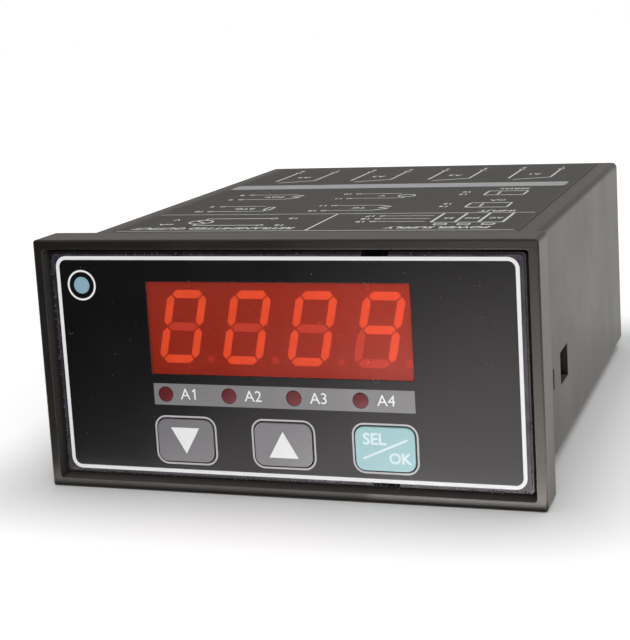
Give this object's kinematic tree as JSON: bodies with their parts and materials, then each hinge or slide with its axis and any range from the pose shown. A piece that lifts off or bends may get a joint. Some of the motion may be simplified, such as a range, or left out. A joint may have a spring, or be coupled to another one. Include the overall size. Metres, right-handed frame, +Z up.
{
  "type": "digital panel meter",
  "caption": "Panel-mounted digital meter: black bezel and long sleeve, red seven-segment window, row of alarm lamps, push keys and plug-in screw terminals at the rear.",
  "frame": {"origin": "centre of the panel cut-out, in the plane of the panel front that the bezel seats on", "axes": "+Z up, the display faces -Y, the sleeve runs along +Y through the panel, +X to the reader's right"},
  "size_m": [0.096, 0.13, 0.048],
  "materials": {
    "black_plastic": "fine moulded grain",
    "insert_plastic": "satin",
    "printed_film": "semi-gloss printed film",
    "red_filter": "clear tinted",
    "display_body": "matt",
    "lit_red": "lit, diffuse",
    "unlit_red": "diffuse",
    "lamp_red": "tinted, unlit",
    "grey_key": "satin",
    "cyan_key": "satin",
    "component_black": "matt",
    "switch_metal": "satin",
    "circuit_board": "solder mask",
    "plated_steel": "zinc plated",
    "core_steel": "laminated",
    "copper_winding": "taped winding",
    "component_blue": "moulded",
    "sink_aluminium": "black anodised",
    "fuse_glass": "clear",
    "pin_brass": "plated",
    "terminal_green": "satin",
    "label_film": "matt printed"
  },
  "bodies": {
    "casing": {"housing": "black_plastic", "front_panel": "insert_plastic", "overlay_film": "printed_film", "red_window": "red_filter", "digit_1": "display_body", "digit_2": "display_body", "digit_3": "display_body", "digit_4": "display_body", "lit_segments": "lit_red", "unlit_segments": "unlit_red", "alarm_lamp_1": "lamp_red", "alarm_lamp_2": "lamp_red", "alarm_lamp_3": "lamp_red", "alarm_lamp_4": "lamp_red", "switch_base_1": "switch_metal", "switch_base_2": "switch_metal", "switch_base_3": "switch_metal", "display_board": "circuit_board", "board_screws": "plated_steel", "controller_chip": "component_black", "lower_link": "component_black", "upper_link": "component_black", "lower_board": "circuit_board", "upper_board": "circuit_board", "transformer_core": "core_steel", "transformer_bobbin": "component_black", "transformer_winding": "copper_winding", "relay_1": "component_blue", "relay_2": "component_blue", "relay_3": "component_blue", "relay_4": "component_blue", "main_capacitor": "component_blue", "bridge_rectifier": "component_black", "regulator": "plated_steel", "heat_sink": "sink_aluminium", "fuse": "fuse_glass", "varistor": "component_blue", "opto_couplers": "component_black", "converter_chip": "component_black", "trimmers": "component_blue", "input_header": "terminal_green", "output_header": "terminal_green", "relay_header": "terminal_green", "supply_header": "terminal_green", "header_pins": "pin_brass", "top_label": "label_film"},
    "down_key_body": {"down_key": "grey_key", "switch_plunger_1": "component_black"},
    "up_key_body": {"up_key": "grey_key", "switch_plunger_2": "component_black"},
    "select_key_body": {"select_key": "cyan_key", "switch_plunger_3": "component_black"},
    "input_plug_body": {"input_plug": "terminal_green", "input_screws": "plated_steel"},
    "output_plug_body": {"output_plug": "terminal_green", "output_screws": "plated_steel"},
    "relay_plug_body": {"relay_plug": "terminal_green", "relay_screws": "plated_steel"},
    "supply_plug_body": {"supply_plug": "terminal_green", "supply_screws": "plated_steel"}
  },
  "joints": [
    {"name": "down_key_press", "type": "slide", "parent": "casing", "child": "down_key_body", "axis": [0, 1, 0], "range_m": [0, 0.0004], "stiffness_N_per_m": 2000, "springref_m": -0.0002},
    {"name": "up_key_press", "type": "slide", "parent": "casing", "child": "up_key_body", "axis": [0, 1, 0], "range_m": [0, 0.0004], "stiffness_N_per_m": 2000, "springref_m": -0.0002},
    {"name": "select_key_press", "type": "slide", "parent": "casing", "child": "select_key_body", "axis": [0, 1, 0], "range_m": [0, 0.0004], "stiffness_N_per_m": 2000, "springref_m": -0.0002},
    {"name": "input_plug_slide", "type": "slide", "parent": "casing", "child": "input_plug_body", "axis": [0, 1, 0], "range_m": [0, 0.01]},
    {"name": "output_plug_slide", "type": "slide", "parent": "casing", "child": "output_plug_body", "axis": [0, 1, 0], "range_m": [0, 0.01]},
    {"name": "relay_plug_slide", "type": "slide", "parent": "casing", "child": "relay_plug_body", "axis": [0, 1, 0], "range_m": [0, 0.01]},
    {"name": "supply_plug_slide", "type": "slide", "parent": "casing", "child": "supply_plug_body", "axis": [0, 1, 0], "range_m": [0, 0.01]}
  ]
}
